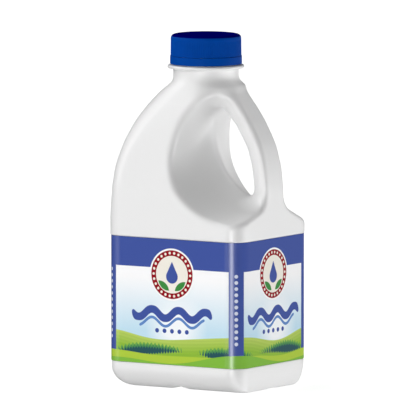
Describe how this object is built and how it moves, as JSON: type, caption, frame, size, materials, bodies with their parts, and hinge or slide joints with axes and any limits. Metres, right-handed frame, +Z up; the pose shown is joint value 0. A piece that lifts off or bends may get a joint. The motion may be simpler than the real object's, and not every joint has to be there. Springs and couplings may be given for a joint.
{
  "type": "plastic milk jug",
  "caption": "Shut white plastic milk jug with a through handle at one top corner, a ribbed blue screw cap, a tamper band and a printed wrap label.",
  "frame": {"origin": "centre of the base's outline, on the surface the jug stands on", "axes": "+Z up along the jug, +X toward the handle, Y across the thinner way, square to the mould's parting plane"},
  "size_m": [0.092, 0.0766, 0.2005],
  "materials": {
    "body": "satin white polyethylene",
    "label": "printed film, semi-gloss",
    "band": "moulded blue",
    "cap": "moulded blue, fine upright ribs"
  },
  "bodies": {
    "root": {"jug": "body", "label": "label", "tamper_band": "band", "cap": "cap"}
  },
  "joints": []
}
